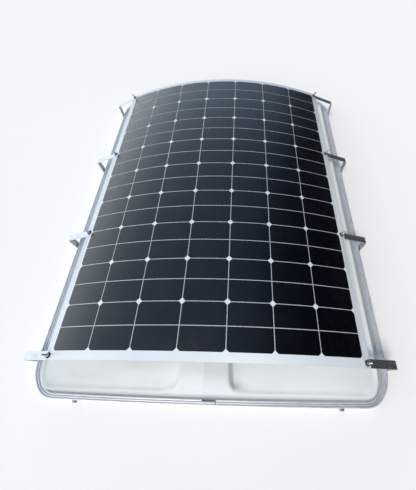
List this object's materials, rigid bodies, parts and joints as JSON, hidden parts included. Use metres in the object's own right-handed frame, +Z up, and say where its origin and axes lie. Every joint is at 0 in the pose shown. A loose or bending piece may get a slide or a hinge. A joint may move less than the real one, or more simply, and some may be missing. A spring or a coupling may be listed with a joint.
{
  "type": "bowed flexible solar sheet on roof shell",
  "caption": "Flexible black-cell solar sheet bowed over a moulded white roof shell, bolted along both sides to bent flat-bar brackets that hook the aluminium rim.",
  "frame": {"origin": "middle of the footprint, on the surface the bracket lips stand on", "axes": "+X to the right across the bow, +Y to the rear along the sheet, +Z up"},
  "size_m": [1.3716, 1.788, 0.2523],
  "materials": {
    "clear_film": "clear satin fluoropolymer film",
    "white_laminate": "white laminate, satin",
    "black_silicon": "near-black back-contact silicon with fine vertical lines",
    "tinned_copper": "dull tin",
    "bright_aluminium": "mill finish bar",
    "anodised_rim": "satin anodised extrusion",
    "zinc_steel": "bright zinc plate",
    "black_rubber": "black rubber",
    "grey_sealant": "grey sealing strip",
    "black_plastic": "fine textured black moulding",
    "terminal_plastic": "grey-green moulding",
    "white_moulding": "white gelcoat, satin gloss"
  },
  "bodies": {
    "assembly": {"front_film": "clear_film", "edge_seal": "white_laminate", "cell_string_1": "black_silicon", "cell_string_2": "black_silicon", "cell_string_3": "black_silicon", "cell_string_4": "black_silicon", "cell_string_5": "black_silicon", "cell_string_6": "black_silicon", "cell_string_7": "black_silicon", "output_ribbon": "tinned_copper", "return_ribbon": "tinned_copper", "back_sheet": "white_laminate", "junction_pad": "black_rubber", "junction_body": "black_plastic", "junction_gasket": "black_rubber", "junction_cover": "black_plastic", "terminal_block": "terminal_plastic", "bypass_diode_1": "black_plastic", "bypass_diode_2": "black_plastic", "bypass_diode_3": "black_plastic", "cable_gland_left": "black_plastic", "cable_gland_right": "black_plastic", "bracket_left_1": "bright_aluminium", "bolt_left_1": "zinc_steel", "washer_left_1": "black_rubber", "bracket_left_2": "bright_aluminium", "bolt_left_2": "zinc_steel", "washer_left_2": "black_rubber", "bracket_left_3": "bright_aluminium", "bolt_left_3": "zinc_steel", "washer_left_3": "black_rubber", "bracket_left_4": "bright_aluminium", "bolt_left_4": "zinc_steel", "washer_left_4": "black_rubber", "bracket_right_1": "bright_aluminium", "bolt_right_1": "zinc_steel", "washer_right_1": "black_rubber", "bracket_right_2": "bright_aluminium", "bolt_right_2": "zinc_steel", "washer_right_2": "black_rubber", "bracket_right_3": "bright_aluminium", "bolt_right_3": "zinc_steel", "washer_right_3": "black_rubber", "bracket_right_4": "bright_aluminium", "bolt_right_4": "zinc_steel", "washer_right_4": "black_rubber", "roof_shell": "white_moulding", "rim_extrusion": "anodised_rim", "rim_gasket": "grey_sealant", "rim_bolt_left": "zinc_steel", "rim_bolt_right": "zinc_steel"},
    "nut_left_1": {"nut_left_1": "zinc_steel"},
    "nut_left_2": {"nut_left_2": "zinc_steel"},
    "nut_left_3": {"nut_left_3": "zinc_steel"},
    "nut_left_4": {"nut_left_4": "zinc_steel"},
    "nut_right_1": {"nut_right_1": "zinc_steel"},
    "nut_right_2": {"nut_right_2": "zinc_steel"},
    "nut_right_3": {"nut_right_3": "zinc_steel"},
    "nut_right_4": {"nut_right_4": "zinc_steel"}
  },
  "joints": [
    {"name": "nut_left_1_turn", "type": "hinge", "parent": "assembly", "child": "nut_left_1", "pos_m": [-0.56054, -0.74596, 0.14974], "axis": [-0.3539, 0, 0.9353], "continuous": true},
    {"name": "nut_left_2_turn", "type": "hinge", "parent": "assembly", "child": "nut_left_2", "pos_m": [-0.56054, -0.24283, 0.14974], "axis": [-0.3539, 0, 0.9353], "continuous": true},
    {"name": "nut_left_3_turn", "type": "hinge", "parent": "assembly", "child": "nut_left_3", "pos_m": [-0.56054, 0.24692, 0.14974], "axis": [-0.3539, 0, 0.9353], "continuous": true},
    {"name": "nut_left_4_turn", "type": "hinge", "parent": "assembly", "child": "nut_left_4", "pos_m": [-0.56054, 0.74204, 0.14974], "axis": [-0.3539, 0, 0.9353], "continuous": true},
    {"name": "nut_right_1_turn", "type": "hinge", "parent": "assembly", "child": "nut_right_1", "pos_m": [0.56054, -0.74596, 0.14974], "axis": [0.3539, 0, 0.9353], "continuous": true},
    {"name": "nut_right_2_turn", "type": "hinge", "parent": "assembly", "child": "nut_right_2", "pos_m": [0.56054, -0.24283, 0.14974], "axis": [0.3539, 0, 0.9353], "continuous": true},
    {"name": "nut_right_3_turn", "type": "hinge", "parent": "assembly", "child": "nut_right_3", "pos_m": [0.56054, 0.24692, 0.14974], "axis": [0.3539, 0, 0.9353], "continuous": true},
    {"name": "nut_right_4_turn", "type": "hinge", "parent": "assembly", "child": "nut_right_4", "pos_m": [0.56054, 0.74204, 0.14974], "axis": [0.3539, 0, 0.9353], "continuous": true}
  ]
}
